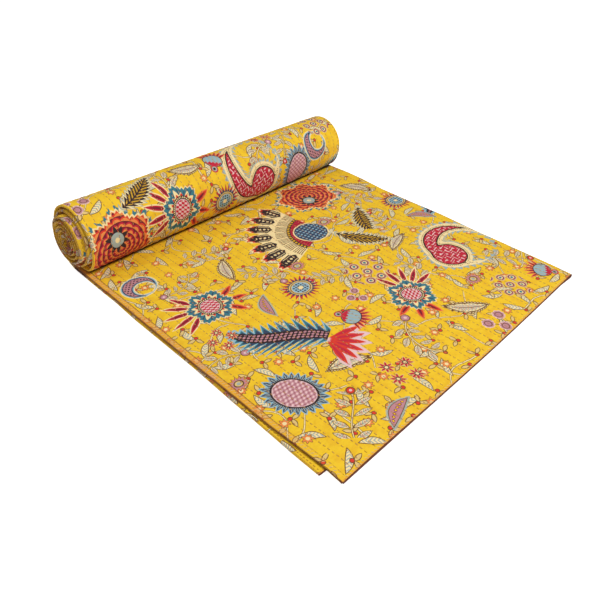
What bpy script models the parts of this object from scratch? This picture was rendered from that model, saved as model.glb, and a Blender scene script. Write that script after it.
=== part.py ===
"""Kantha quilt folded in four across its width and rolled from its far end.

The cloth is one hemmed sheet.  Across the width it runs back and forth in four
layers, and that section is swept along a flat stretch and then up, over and
round into a roll that lies on the flat stretch.  Sizes are in metres.
While it is worked out, x runs along the front edge, y from the front edge back
to the roll and z up.  The finished part has its origin under its middle.
"""
import math
from typing import NamedTuple

import bmesh
import bpy
from mathutils import Matrix, Vector

# The cloth
CLOTH_WIDTH = 2.743
CLOTH_LENGTH = 2.286
LAYERS = 4
PACKET_WIDTH = CLOTH_WIDTH / LAYERS
THICKNESS = 0.0014

# Lying flat: the gap between the layers, and how the edges run from front to roll
FLAT_GAP = 0.00085
FLAT_LENGTH = 0.700
FRONT_BOW = 0.005
# edge: its course from the front as (y, x), which ends where the roll starts, and x on the roll
EDGES = {
    "hem": {
        "course": ((0.00, -0.003), (0.14, -0.001), (0.23, 0.0035), (0.32, 0.008), (0.41, 0.0125),
                   (0.49, 0.0175), (0.61, 0.024), (0.70, 0.030)),
        "roll": 0.041,
    },
    "left fold": {
        "course": ((0.00, -0.014), (0.07, -0.0115), (0.14, -0.0075), (0.23, -0.001), (0.32, 0.006),
                   (0.41, 0.0105), (0.49, 0.0145), (0.56, 0.0205), (0.61, 0.0225), (0.70, 0.028)),
        "roll": 0.034,
    },
    "right fold": {
        "course": ((0.00, 0.681), (0.03, 0.6845), (0.14, 0.692), (0.23, 0.700), (0.32, 0.7085),
                   (0.41, 0.7125), (0.49, 0.7165), (0.56, 0.728), (0.61, 0.733), (0.65, 0.735), (0.70, 0.735)),
        "roll": 0.735,
    },
}
# How far the front ends of the layers, lowest first, stay behind the front edge
SET_BACK = {"at left": (0.034, 0.032, 0.003, 0.0), "at right": (0.0025, 0.002, 0.002, 0.0015)}
SET_BACK_REACH = 0.15
SET_BACK_POWER = 3
FRONT_STEPS = 6
# The two upper layers hang down at the front left corner, where the lower two stop short
DROOP = 0.0038
DROOP_REACH = 0.03
DROOP_POWER = 6

# Soft unevenness of the upper layers along the flat stretch: lift at the two sides
LIFTS = (
    {"y": 0.00, "left": 0.0000, "right": 0.0004},
    {"y": DROOP_REACH, "left": 0.0008, "right": 0.0006},
    {"y": 0.07, "left": 0.0013, "right": 0.0010},
    {"y": 0.14, "left": 0.0004, "right": 0.0012},
    {"y": 0.23, "left": 0.0012, "right": 0.0003},
    {"y": 0.32, "left": 0.0006, "right": 0.0010},
    {"y": 0.41, "left": 0.0014, "right": 0.0005},
    {"y": 0.49, "left": 0.0005, "right": 0.0011},
    {"y": 0.56, "left": 0.0010, "right": 0.0004},
    {"y": 0.61, "left": 0.0002, "right": 0.0006},
    {"y": 0.65, "left": 0.0000, "right": 0.0000},
    {"y": 0.70, "left": 0.0000, "right": 0.0000},
)
GAP_SETTLES = (0.54, 0.65)

# The roll: loosely wound at its left end, tightly at its right end
ROLL_RADIUS = {"left": 0.0704, "right": 0.0638}
TURN_PITCH = {"left": 0.00855, "right": 0.0069}
# Its inner turns slide out to the left between two turns of the winding
TELESCOPE = {"by": 0.017, "from": 0.9, "to": 2.9}
TAKE_UP_END = math.radians(90)
# Cross-sections round the roll: close together on the outer turns
FINE_TURNS = 2
FINE_STEP = math.radians(15)
COARSE_STEP = math.radians(30)

# Quilting: rows of stitching that run along the cloth and draw it in
ROWS = 40
ROW_DEPTH = 0.00045
HEM_WIDTH = 0.010
# On the roll they show between these angles from its underside, round its back and over it
ROWS_SHOW = (math.radians(30), math.radians(330))

FOLD_STEPS = 3

# The ribbon of the section, from the hem of the third layer to that of the top one.
# level: layer counted from below, heading: +1 to the right, -1 to the left
RUNS = (
    {"kind": "layer", "level": 2, "heading": 1, "from": "hem", "to": "right fold"},
    {"kind": "fold", "levels": (2, 1), "steps": 1},
    {"kind": "layer", "level": 1, "heading": -1, "from": "right fold", "to": "left fold"},
    {"kind": "fold", "levels": (1, 0), "steps": FOLD_STEPS},
    {"kind": "layer", "level": 0, "heading": 1, "from": "left fold", "to": "right fold"},
    {"kind": "fold", "levels": (0, 3), "steps": FOLD_STEPS},
    {"kind": "layer", "level": 3, "heading": -1, "from": "right fold", "to": "hem"},
)
BOTTOM_RUN = 4
TOP_RUN = 6
PRINTED, LINING = 0, 1

YELLOW = (0.83, 0.50, 0.02, 1.0)
MATT = 0.9
SHARP_EDGE = math.radians(40)
SAME = 1e-6


class Station(NamedTuple):
    """A cross-section's place: y on the flat stretch, and angle round the roll."""

    y: float
    angle: float


def mix(a, b, share):
    return a + (b - a) * share


def smooth(value, low, high):
    share = min(max((value - low) / (high - low), 0.0), 1.0)
    return share * share * (3.0 - 2.0 * share)


def turns_in_roll():
    """Number of turns that use up the cloth beyond the flat stretch, at the packet's middle layer."""
    radius = sum(ROLL_RADIUS.values()) / 2
    pitch = sum(TURN_PITCH.values()) / 2
    first = radius - (LAYERS - 1) / LAYERS * pitch / 2 - THICKNESS / 2
    wound = CLOTH_LENGTH - FLAT_LENGTH
    return (first - math.sqrt(first ** 2 - pitch * wound / math.pi)) / pitch


def stations():
    """Cross-sections along the cloth, from its front edge to its end inside the roll."""
    places = [Station(row["y"], 0.0) for row in LIFTS]
    angle = 0.0
    while angle < turns_in_roll() * math.tau - COARSE_STEP / 2:
        angle += FINE_STEP if angle < FINE_TURNS * math.tau - SAME else COARSE_STEP
        places.append(Station(FLAT_LENGTH, angle))
    return places


def edge(name, at):
    """x of a hem or fold, with its drift along the roll."""
    course = EDGES[name]["course"]
    for (near_y, near_x), (far_y, far_x) in zip(course, course[1:]):
        if at.y <= far_y:
            break
    on_course = mix(near_x, far_x, (at.y - near_y) / (far_y - near_y))
    take_up = (EDGES[name]["roll"] - course[-1][1]) * smooth(at.angle, 0.0, TAKE_UP_END)
    slide = TELESCOPE["by"] * smooth(at.angle / math.tau, TELESCOPE["from"], TELESCOPE["to"])
    return on_course + take_up - slide


def winding(x, angle):
    """Radius of the roll and pitch of its turns, between those of its left and right ends."""
    ends = Station(FLAT_LENGTH, angle)
    left, right = edge("hem", ends), edge("right fold", ends)
    share = (x - left) / (right - left)
    return [mix(size["left"], size["right"], share) for size in (ROLL_RADIUS, TURN_PITCH)]


def gap_at(x, at):
    """Gap between the layers: loose on the flat stretch, pressed under and in the roll."""
    wound = winding(x, at.angle)[1] / LAYERS - THICKNESS
    return mix(FLAT_GAP, wound, smooth(at.y, *GAP_SETTLES))


def lift_at(x, y):
    """Lift of the top layer at a station of the flat stretch."""
    row = next(row for row in LIFTS if abs(row["y"] - y) < SAME)
    return mix(row["left"], row["right"], min(max(x / PACKET_WIDTH, 0.0), 1.0))


def droop_at(level, x, y):
    """Sag of the upper layers at the front left corner."""
    if level < LAYERS / 2:
        return 0.0
    share = min(max(x / PACKET_WIDTH, 0.0), 1.0)
    return DROOP * (1.0 - share) ** DROOP_POWER * max(0.0, 1.0 - y / DROOP_REACH)


def height(level, x, at):
    """Distance of a layer's middle from the underside of the cloth that touches the floor."""
    lift = lift_at(x, at.y) * level / (LAYERS - 1) - droop_at(level, x, at.y)
    return level * (THICKNESS + gap_at(x, at)) + THICKNESS / 2 + lift


def fold_shape(fold, side, at):
    """Heading, root, reach and levels' heights of one side of the bend that joins two layers."""
    nested = fold["levels"] == (2, 1)
    heading = -1 if fold["levels"] == (1, 0) else 1
    end = edge("right fold" if heading == 1 else "left fold", at)
    if nested:
        around = height(LAYERS - 1, end, at) - height(0, end, at)
        end -= (around + THICKNESS) / 2
    start_up, end_up = (height(level, end, at) for level in fold["levels"])
    outer = (side == PRINTED) != nested
    half = abs(end_up - start_up) / 2
    reach = half + (THICKNESS / 2 if outer else -THICKNESS / 2)
    if fold["steps"] == 1:
        root = end if outer else end - heading * THICKNESS
    else:
        root = end - heading * (half + THICKNESS / 2)
    return heading, root, reach, start_up, end_up


def run_ends(index, side, at):
    """x at the start and at the end of one side of a layer's run."""
    ends = []
    for end, neighbour in (("from", index - 1), ("to", index + 1)):
        if RUNS[index][end] == "hem":
            ends.append(edge("hem", at))
        else:
            ends.append(fold_shape(RUNS[neighbour], side, at)[1])
    return ends


def section_point(index, share, side, row_depth, at):
    """(x, height, level) of a point of the ribbon: share 0 to 1 along one of its runs."""
    run = RUNS[index]
    if run["kind"] == "layer":
        start, end = run_ends(index, side, at)
        x = mix(start, end, share)
        outwards = -run["heading"] if side == PRINTED else run["heading"]
        reach = THICKNESS / 2 - row_depth
        return x, height(run["level"], x, at) + outwards * reach, run["level"]
    heading, root, reach, start_up, end_up = fold_shape(run, side, at)
    turn = math.pi * share
    bulge = reach * min(1.0, math.sin(turn) / math.sin(math.pi / FOLD_STEPS))
    up = 1 if end_up > start_up else -1
    middle = (start_up + end_up) / 2
    return root + heading * bulge, middle - up * reach * math.cos(turn), mix(*run["levels"], share)


def front_offset(x, level, y):
    """How far a point lies behind its station, near the front end of its layer."""
    share = min(max(x / PACKET_WIDTH, 0.0), 1.0)
    low = min(int(level), LAYERS - 2)
    at_left = mix(SET_BACK["at left"][low], SET_BACK["at left"][low + 1], level - low)
    at_right = mix(SET_BACK["at right"][low], SET_BACK["at right"][low + 1], level - low)
    bow = -FRONT_BOW * math.sin(math.pi * share)
    set_back = mix(at_right, at_left, (1.0 - share) ** SET_BACK_POWER)
    return (set_back + bow) * (1.0 - smooth(y, 0.0, SET_BACK_REACH))


def placed(x, depth, level, at):
    """Point of the quilt as it lies: flat, then round the roll."""
    radius, pitch = winding(x, at.angle)
    arm = radius - pitch * at.angle / math.tau - depth
    back = at.y + front_offset(x, level, at.y)
    return Vector((x, back + arm * math.sin(at.angle), radius - arm * math.cos(at.angle)))


def row_shares(index, row_depth, at):
    """Shares along a layer's run, with their depths, for its rows of quilting."""
    start, end = run_ends(index, PRINTED, at)
    length = abs(end - start)
    hem = HEM_WIDTH / length
    from_hem = [(0.0, 0.0)]
    for row in range(ROWS):
        trough = mix(hem, 1.0, row / ROWS)
        from_hem += [(trough, row_depth), (trough + (1.0 - hem) * 0.5 / ROWS, 0.0)]
    from_hem.append((1.0, 0.0))
    if RUNS[index]["to"] == "hem":
        return [(1.0 - share, depth) for share, depth in reversed(from_hem)]
    return from_hem


def has_rows(index, side, at, beyond=0.0):
    """Whether the rows of quilting show on a side of a run, or do so within a step beyond."""
    if side != PRINTED:
        return False
    if index == TOP_RUN:
        return at.angle == 0.0 and at.y < FLAT_LENGTH + beyond
    first, last = ROWS_SHOW
    return index == BOTTOM_RUN and first - beyond - SAME < at.angle < last + beyond + SAME


def shares_on(index, side, at):
    """Where a run of the section has its points: finely where its rows of quilting show."""
    run = RUNS[index]
    if run["kind"] == "fold":
        return [(step / run["steps"], 0.0) for step in range(run["steps"] + 1)]
    if has_rows(index, side, at):
        return row_shares(index, ROW_DEPTH, at)
    if has_rows(index, side, at, beyond=FINE_STEP) or (index == TOP_RUN and at == (0.0, 0.0)):
        return row_shares(index, 0.0, at)
    steps = FRONT_STEPS if at.y == 0.0 else 1
    return [(step / steps, 0.0) for step in range(steps + 1)]


def bridge(mesh, near, far):
    """Faces between two rows of (place, vertex), whose numbers of points may differ."""
    i = j = 0
    while i < len(near) - 1 or j < len(far) - 1:
        middle_near = near[i][0] + near[i + 1][0] if i < len(near) - 1 else math.inf
        middle_far = far[j][0] + far[j + 1][0] if j < len(far) - 1 else math.inf
        corners = [near[i][1], far[j][1]]
        if middle_far <= middle_near + SAME:
            j += 1
            corners.append(far[j][1])
        if middle_near <= middle_far + SAME:
            i += 1
            corners.append(near[i][1])
        if len(set(corners)) > 2:
            mesh.faces.new(corners)


def section_ring(mesh, at):
    """Vertices of one cross-section: for each run and side, its row of (place, vertex)."""
    ring = {}
    corners = {}
    for index in range(len(RUNS)):
        for side in (PRINTED, LINING):
            row = []
            for share, depth in shares_on(index, side, at):
                corner = (side, index + round(share)) if share in (0.0, 1.0) else None
                vertex = corners.get(corner)
                if vertex is None:
                    x, up, level = section_point(index, share, side, depth, at)
                    vertex = mesh.verts.new(placed(x, up, level, at))
                if corner:
                    corners[corner] = vertex
                row.append((share, vertex))
            ring[index, side] = row
    return ring


def quilt_mesh():
    mesh = bmesh.new()
    rings = [section_ring(mesh, at) for at in stations()]
    for near, far in zip(rings, rings[1:]):
        for key in near:
            bridge(mesh, near[key], far[key])
        for index, end in ((0, 0), (len(RUNS) - 1, -1)):
            hem_near = [near[index, side][end][1] for side in (PRINTED, LINING)]
            hem_far = [far[index, side][end][1] for side in (LINING, PRINTED)]
            mesh.faces.new(hem_near + hem_far)
    for ring in (rings[0], rings[-1]):
        for index in range(len(RUNS)):
            bridge(mesh, ring[index, PRINTED], ring[index, LINING])
    bmesh.ops.triangulate(mesh, faces=mesh.faces)
    bmesh.ops.recalc_face_normals(mesh, faces=mesh.faces)
    return mesh


def cloth_material():
    material = bpy.data.materials.new("printed cotton")
    material.use_nodes = True
    shader = material.node_tree.nodes["Principled BSDF"]
    shader.inputs["Base Color"].default_value = YELLOW
    shader.inputs["Roughness"].default_value = MATT
    shader.inputs["Metallic"].default_value = 0.0
    material.diffuse_color = YELLOW
    return material


def add_quilt(collection):
    shape = quilt_mesh()
    low = Vector(min(v.co[i] for v in shape.verts) for i in range(3))
    high = Vector(max(v.co[i] for v in shape.verts) for i in range(3))
    middle = Vector(((low.x + high.x) / 2, (low.y + high.y) / 2, low.z))
    bmesh.ops.transform(shape, matrix=Matrix.Translation(-middle), verts=shape.verts)
    data = bpy.data.meshes.new("quilt")
    shape.to_mesh(data)
    shape.free()
    data.materials.append(cloth_material())
    data.shade_smooth()
    data.set_sharp_from_angle(angle=SHARP_EDGE)
    collection.objects.link(bpy.data.objects.new("quilt", data))


def main():
    for thing in list(bpy.data.objects):
        bpy.data.objects.remove(thing)
    collection = bpy.data.collections.new("kantha quilt")
    bpy.context.scene.collection.children.link(collection)
    add_quilt(collection)


main()
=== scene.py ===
"""A kantha quilt of yellow printed cotton, folded in four and rolled from its far end.

The cloth is worked out in the packet's own coordinates, in metres: x runs along
the front edge, y from the front edge back to the roll and z up.  The flat cloth
has coordinates of its own, which carry the print and the stitching: u across it,
from the hem on top of the packet, and v along it, from the front edge.
"""
import math

import bpy
import numpy as np
from mathutils import Matrix, Vector, noise


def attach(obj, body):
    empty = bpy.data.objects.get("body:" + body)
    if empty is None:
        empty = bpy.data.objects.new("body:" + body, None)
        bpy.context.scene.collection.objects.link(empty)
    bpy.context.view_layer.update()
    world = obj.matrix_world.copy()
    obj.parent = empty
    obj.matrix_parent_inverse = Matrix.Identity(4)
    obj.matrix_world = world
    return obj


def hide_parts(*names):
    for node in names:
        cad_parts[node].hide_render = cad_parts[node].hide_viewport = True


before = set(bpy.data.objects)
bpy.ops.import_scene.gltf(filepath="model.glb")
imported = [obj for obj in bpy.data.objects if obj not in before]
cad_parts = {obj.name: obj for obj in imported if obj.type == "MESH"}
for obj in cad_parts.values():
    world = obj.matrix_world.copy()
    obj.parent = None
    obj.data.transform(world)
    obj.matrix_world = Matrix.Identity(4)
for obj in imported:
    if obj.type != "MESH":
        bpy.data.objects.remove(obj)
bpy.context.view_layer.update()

# ---- sizes, as in the solid, except for SET_BACK_POWER, which is 3 there
CLOTH_WIDTH = 2.743
CLOTH_LENGTH = 2.286
LAYERS = 4
PACKET_WIDTH = CLOTH_WIDTH / LAYERS
THICKNESS = 0.0014
ORIGIN = Vector((0.3605, 0.3823, 0.0))

FLAT_GAP = 0.00085
FLAT_LENGTH = 0.700
FRONT_BOW = 0.005
# edge: its course from the front as (y, x), which ends where the roll starts, and x on the roll
EDGES = {
    "hem": {
        "course": ((0.00, -0.003), (0.14, -0.001), (0.23, 0.0035), (0.32, 0.008), (0.41, 0.0125),
                   (0.49, 0.0175), (0.61, 0.024), (0.70, 0.030)),
        "roll": 0.041,
    },
    "left fold": {
        "course": ((0.00, -0.014), (0.07, -0.0115), (0.14, -0.0075), (0.23, -0.001), (0.32, 0.006),
                   (0.41, 0.0105), (0.49, 0.0145), (0.56, 0.0205), (0.61, 0.0225), (0.70, 0.028)),
        "roll": 0.034,
    },
    "right fold": {
        "course": ((0.00, 0.681), (0.03, 0.6845), (0.14, 0.692), (0.23, 0.700), (0.32, 0.7085),
                   (0.41, 0.7125), (0.49, 0.7165), (0.56, 0.728), (0.61, 0.733), (0.65, 0.735),
                   (0.70, 0.735)),
        "roll": 0.735,
    },
}
# How far the front ends of the layers, lowest first, stay behind the front edge
SET_BACK = {"at left": (0.034, 0.032, 0.003, 0.0), "at right": (0.0025, 0.002, 0.002, 0.0015)}
SET_BACK_REACH = 0.15
SET_BACK_POWER = 12
DROOP = 0.0038
DROOP_REACH = 0.03
DROOP_POWER = 6
# Lift of the top layer along the flat stretch: y, lift at the left side, lift at the right side
LIFTS = (
    (0.00, 0.0000, 0.0004), (0.03, 0.0008, 0.0006), (0.07, 0.0013, 0.0010), (0.14, 0.0004, 0.0012),
    (0.23, 0.0012, 0.0003), (0.32, 0.0006, 0.0010), (0.41, 0.0014, 0.0005), (0.49, 0.0005, 0.0011),
    (0.56, 0.0010, 0.0004), (0.61, 0.0002, 0.0006), (0.65, 0.0000, 0.0000), (0.70, 0.0000, 0.0000),
)
GAP_SETTLES = (0.54, 0.65)

ROLL_RADIUS = {"left": 0.0704, "right": 0.0638}
TURN_PITCH = {"left": 0.00855, "right": 0.0069}
MEAN_RADIUS, MEAN_PITCH = (sum(size.values()) / 2 for size in (ROLL_RADIUS, TURN_PITCH))
TELESCOPE = {"by": 0.017, "from": 0.9, "to": 2.9}
TAKE_UP_END = math.radians(90)
# The outer turn sags on to the flat stretch before the lowest point of the roll: degrees, sag
SAG = ((282, 0.0), (300, 0.0016), (315, 0.0036), (325, 0.0046), (333, 0.0040), (341, 0.0014), (350, 0.0))

# ---- the ribbon of the section
# level: layer counted from below, heading: +1 to the right, -1 to the left
RUNS = (
    {"kind": "layer", "level": 2, "heading": 1, "from": "hem", "to": "right fold", "length": 0.680},
    {"kind": "fold", "levels": (2, 1), "steps": 2, "length": 0.003},
    {"kind": "layer", "level": 1, "heading": -1, "from": "right fold", "to": "left fold", "length": 0.680},
    {"kind": "fold", "levels": (1, 0), "steps": 5, "length": 0.006},
    {"kind": "layer", "level": 0, "heading": 1, "from": "left fold", "to": "right fold", "length": 0.680},
    {"kind": "fold", "levels": (0, 3), "steps": 6, "length": 0.014},
    {"kind": "layer", "level": 3, "heading": -1, "from": "right fold", "to": "hem", "length": 0.680},
)
BOTTOM_RUN = 4
TOP_RUN = 6
PRINTED, LINING = 0, 1
RUN_STARTS = np.concatenate([[0.0], np.cumsum([run["length"] for run in RUNS])])

# ---- quilting and hems
THREAD = {
    "half width": 0.00050,
    "half height": 0.00028,
    "course": ((0.0, -0.0005), (0.22, 0.00030), (0.78, 0.00030), (1.0, -0.0005)),
}
HEM_WIDTH = 0.010
HEM_RAISED = 0.00030
FRONT_HEM = 0.008
EDGE_ROUND = 0.0012
ROUNDING = (0.0, 0.12, 0.45)
ROW_PITCH = 0.01675
STITCH = 0.0042
STITCH_PITCH = 0.0084
HEM_STITCH = {"pitch": 0.0068, "slant": 0.0038, "along": (0.012, 0.655), "front": (0.010, 0.670)}
# How far a stitch strays from its row, how much its length varies, and how near a fold it may lie
STRAYS, VARIES, ROW_MARGIN = 0.0003, 0.2, 0.003
TWISTS = 2.5
CELL_MARGIN = 0.08
PHASE = {"step": 0.618, "wave": 1.7, "swing": 0.35}
# Relief: a furrow along each row, puffs between the rows, puckers beside the stitches, small
# ripples across the rows and a broad unevenness
FURROW = {"depth": 0.00075, "half width": 0.0026, "pulled by stitches": 0.28, "uneven": 0.35, "over": 0.03}
PUFF = {"height": 0.00045, "roundness": 0.7}
PUCKER = {"height": 0.00028, "half width": 0.0055}
RIPPLE = {"height": 0.00028, "length": 0.0075, "stretch": 0.45}
BROAD = {"height": 0.0005, "length": 0.045}
# Where the relief grows from the hems, from the left fold, and out of the roll's underside
HEM_EASE = (HEM_WIDTH * 0.8, HEM_WIDTH * 1.1)
FRONT_EASE = (FRONT_HEM * 0.7, FRONT_HEM * 1.4)
FOLD_EASE = (0.0, 0.008)
ROLL_GROWS = (math.radians(10), math.radians(25))

# ---- how finely it is drawn
STEP = STITCH_PITCH / 3
TOP_FINE_TO = 0.664
ROLL_FINE = (math.radians(18), math.radians(348))
ACROSS_ROW = (0.0, 0.14, 0.38, 0.62, 0.86)
ACROSS_HEM = (0.25, 0.5, 0.8, 0.93)
COARSE_TURN, INNER_TURN = math.radians(9), math.radians(15)


def mix(a, b, share):
    return a + (b - a) * share


def smooth(value, low, high):
    share = np.clip((value - low) / (high - low), 0.0, 1.0)
    return share * share * (3.0 - 2.0 * share)


def turns_in_roll():
    """Number of turns that use up the cloth beyond the flat stretch."""
    first = MEAN_RADIUS - (LAYERS - 1) / LAYERS * MEAN_PITCH / 2 - THICKNESS / 2
    wound = CLOTH_LENGTH - FLAT_LENGTH
    return (first - math.sqrt(first ** 2 - MEAN_PITCH * wound / math.pi)) / MEAN_PITCH


def edge(name, y, angle):
    """x of a hem or fold, with its drift along the roll."""
    course = EDGES[name]["course"]
    take_up = (EDGES[name]["roll"] - course[-1][1]) * smooth(angle, 0.0, TAKE_UP_END)
    slide = TELESCOPE["by"] * smooth(angle / math.tau, TELESCOPE["from"], TELESCOPE["to"])
    return np.interp(y, *zip(*course)) + take_up - slide


def winding(x, angle):
    """Radius of the roll and pitch of its turns, between those of its left and right ends."""
    left, right = (edge(name, FLAT_LENGTH, angle) for name in ("hem", "right fold"))
    share = (x - left) / (right - left)
    return [mix(size["left"], size["right"], share) for size in (ROLL_RADIUS, TURN_PITCH)]


def gap_at(x, y, angle):
    wound = winding(x, angle)[1] / LAYERS - THICKNESS
    return mix(FLAT_GAP, wound, smooth(y, *GAP_SETTLES))


def lift_at(x, y):
    """Lift of the top layer, eased between the rows of the table."""
    places = [row[0] for row in LIFTS]
    index = int(np.clip(np.searchsorted(places, y, side="right") - 1, 0, len(LIFTS) - 2))
    share = smooth(y, places[index], places[index + 1])
    left, right = (mix(LIFTS[index][side], LIFTS[index + 1][side], share) for side in (1, 2))
    return mix(left, right, np.clip(x / PACKET_WIDTH, 0.0, 1.0))


def height(level, x, y, angle):
    """Distance of a layer's middle from the underside of the cloth that touches the floor."""
    lift = lift_at(x, y) * level / (LAYERS - 1)
    if level >= LAYERS / 2:
        share = np.clip(x / PACKET_WIDTH, 0.0, 1.0)
        lift = lift - DROOP * (1.0 - share) ** DROOP_POWER * max(0.0, 1.0 - y / DROOP_REACH)
    return level * (THICKNESS + gap_at(x, y, angle)) + THICKNESS / 2 + lift


def front_offset(x, level, y):
    """How far a point lies behind its station, near the front end of its layer."""
    share = np.clip(x / PACKET_WIDTH, 0.0, 1.0)
    low = np.clip(np.floor(level), 0, LAYERS - 2).astype(int)
    at_left, at_right = (
        mix(np.take(SET_BACK[name], low), np.take(SET_BACK[name], low + 1), level - low)
        for name in ("at left", "at right")
    )
    bow = -FRONT_BOW * np.sin(math.pi * share)
    set_back = mix(at_right, at_left, (1.0 - share) ** SET_BACK_POWER)
    return (set_back + bow) * (1.0 - smooth(y, 0.0, SET_BACK_REACH))


def placed(x, depth, level, y, angle):
    """Points of the quilt as it lies: flat, then round the roll."""
    radius, pitch = winding(x, angle)
    arm = radius - pitch * angle / math.tau - depth + np.interp(math.degrees(angle), *zip(*SAG))
    back = y + front_offset(x, level, y)
    return np.stack([x, back + arm * np.sin(angle), radius - arm * np.cos(angle)], axis=-1)


def cloth_length_to(angle):
    """v at an angle of the roll, measured along the outer face."""
    return FLAT_LENGTH + MEAN_RADIUS * angle - MEAN_PITCH * angle * angle / (2 * math.tau)


# ---- relief of the quilting
def row_phase(row):
    """Where along a row its stitches start, as a share of the stitch pitch."""
    return np.mod(row * PHASE["step"] + np.sin(row * PHASE["wave"]) * PHASE["swing"], 1.0)


def soft_noise(u, v, scale, seed):
    at = np.vectorize(lambda a, b: noise.noise((a, b, seed)), otypes=[float])
    return at(u / scale, v / scale)


def relief(u, v):
    """Height of the quilted face over its mean: furrows along the rows, puffs between."""
    rows = (u - HEM_WIDTH) / ROW_PITCH
    row = np.round(rows)
    away = np.abs(rows - row) * ROW_PITCH
    pulled = 0.5 + 0.5 * np.cos(math.tau * (v / STITCH_PITCH + row_phase(row)))
    puff = PUFF["height"] * np.clip(2.0 * away / ROW_PITCH, 0.0, 1.0) ** PUFF["roundness"]
    drawn = FURROW["pulled by stitches"]
    uneven = 1.0 + FURROW["uneven"] * soft_noise(u, v, FURROW["over"], 3.0)
    in_furrow = np.exp(-(away / FURROW["half width"]) ** 2)
    furrow = -FURROW["depth"] * in_furrow * (1.0 - drawn + drawn * pulled) * uneven
    pucker = PUCKER["height"] * (1.0 - pulled) * np.exp(-(away / PUCKER["half width"]) ** 2)
    ripple = RIPPLE["height"] * soft_noise(u * RIPPLE["stretch"], v, RIPPLE["length"], 7.0)
    broad = BROAD["height"] * soft_noise(u, v, BROAD["length"], 11.0)
    in_rows = smooth(u, *HEM_EASE)
    in_front = smooth(v, *FRONT_EASE)
    hem = HEM_RAISED * (1.0 - in_rows * in_front)
    return (puff + furrow + pucker + ripple) * in_rows * in_front + hem + broad


def arc_at(key):
    """Distance along the ribbon of the section, at a run's index plus the share along it."""
    return np.interp(key, range(len(RUN_STARTS)), RUN_STARTS)


def u_span(index):
    """u at the end and at the start of a run."""
    return RUN_STARTS[-1] - RUN_STARTS[index + 1], RUN_STARTS[-1] - RUN_STARTS[index]


def thickness_share(key, v):
    """Thickness of the sheet near its edges, where it is rounded off."""
    arc = arc_at(key)
    from_edge = np.minimum(np.minimum(arc, RUN_STARTS[-1] - arc), np.minimum(v, CLOTH_LENGTH - v))
    share = np.clip(from_edge / EDGE_ROUND, 0.02, 1.0)
    return np.sqrt(1.0 - (1.0 - share) ** 2)


# ---- the cloth's mesh
def fold_shape(fold, side, y, angle):
    """Heading, root, reach and levels' heights of one side of the bend that joins two layers."""
    nested = fold["levels"] == (2, 1)
    heading = -1 if fold["levels"] == (1, 0) else 1
    end = edge("right fold" if heading == 1 else "left fold", y, angle)
    if nested:
        around = height(LAYERS - 1, end, y, angle) - height(0, end, y, angle)
        end -= (around + 3 * THICKNESS) / 2
    start_up, end_up = (height(level, end, y, angle) for level in fold["levels"])
    half = abs(end_up - start_up) / 2
    outer = (side == PRINTED) != nested
    reach = half + (THICKNESS / 2 if outer else -THICKNESS / 2)
    return heading, end - heading * (half + THICKNESS / 2), reach, start_up, end_up


def run_ends(index, side, y, angle):
    ends = []
    for end, neighbour in (("from", index - 1), ("to", index + 1)):
        if RUNS[index][end] == "hem":
            ends.append(edge("hem", y, angle))
        else:
            ends.append(fold_shape(RUNS[neighbour], side, y, angle)[1])
    return ends


def run_points(index, side, shares, y, angle, v):
    """Points along one run of the section, on one side of the cloth."""
    run = RUNS[index]
    if run["kind"] == "fold":
        heading, root, reach, start_up, end_up = fold_shape(run, side, y, angle)
        upwards = 1 if end_up > start_up else -1
        x = root + heading * reach * np.sin(math.pi * shares)
        up = (start_up + end_up) / 2 - upwards * reach * np.cos(math.pi * shares)
        return placed(x, up, mix(*run["levels"], shares), y, angle)
    key = index + shares
    half = THICKNESS / 2 * thickness_share(key, v)
    raised = 0.0
    if side == PRINTED and index in (TOP_RUN, BOTTOM_RUN) and angle < ROLL_FINE[1] + 0.1:
        raised = relief(RUN_STARTS[-1] - arc_at(key), v)
        if index == BOTTOM_RUN:
            raised = raised * smooth(angle, *ROLL_GROWS) * smooth(shares, *FOLD_EASE) * (half / THICKNESS * 2)
    outwards = -run["heading"] if side == PRINTED else run["heading"]
    x = mix(*run_ends(index, side, y, angle), shares)
    return placed(x, height(run["level"], x, y, angle) + outwards * (half + raised), run["level"], y, angle)


def fine_shares(index):
    """Shares along a quilted run: several to a row of stitches, and more at its hem."""
    low_u, high_u = u_span(index)
    first, last = math.ceil((low_u - HEM_WIDTH) / ROW_PITCH), int((high_u - HEM_WIDTH) / ROW_PITCH)
    places = [HEM_WIDTH + (row + part) * ROW_PITCH for row in range(first, last + 1) for part in ACROSS_ROW]
    if index == TOP_RUN:
        places += [EDGE_ROUND * part for part in (*ROUNDING, 1.0)]
        places += [HEM_WIDTH * part for part in ACROSS_HEM]
    places = np.array([u for u in places if low_u <= u < high_u - 0.001])
    return np.unique(np.concatenate([[0.0, 1.0], (high_u - places) / (high_u - low_u)]))


def coarse_shares(index, side):
    run = RUNS[index]
    if run["kind"] == "fold":
        steps = run["steps"] if side == PRINTED else 2
        return np.linspace(0.0, 1.0, steps + 1)
    shares = [0.0, 1.0]
    rounds = [part * EDGE_ROUND / run["length"] for part in (0.2, 1.0)]
    if run["from"] == "hem":
        shares += rounds
    if run["to"] == "hem":
        shares += [1.0 - part for part in rounds]
    return np.unique(shares)


FINE = {index: fine_shares(index) for index in (TOP_RUN, BOTTOM_RUN)}
COARSE = {
    (index, side): coarse_shares(index, side) for index in range(len(RUNS)) for side in (PRINTED, LINING)
}


def is_fine(index, side, y, angle):
    if side != PRINTED:
        return False
    if index == TOP_RUN:
        return angle == 0.0 and y <= TOP_FINE_TO
    return index == BOTTOM_RUN and ROLL_FINE[0] <= angle <= ROLL_FINE[1]


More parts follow.
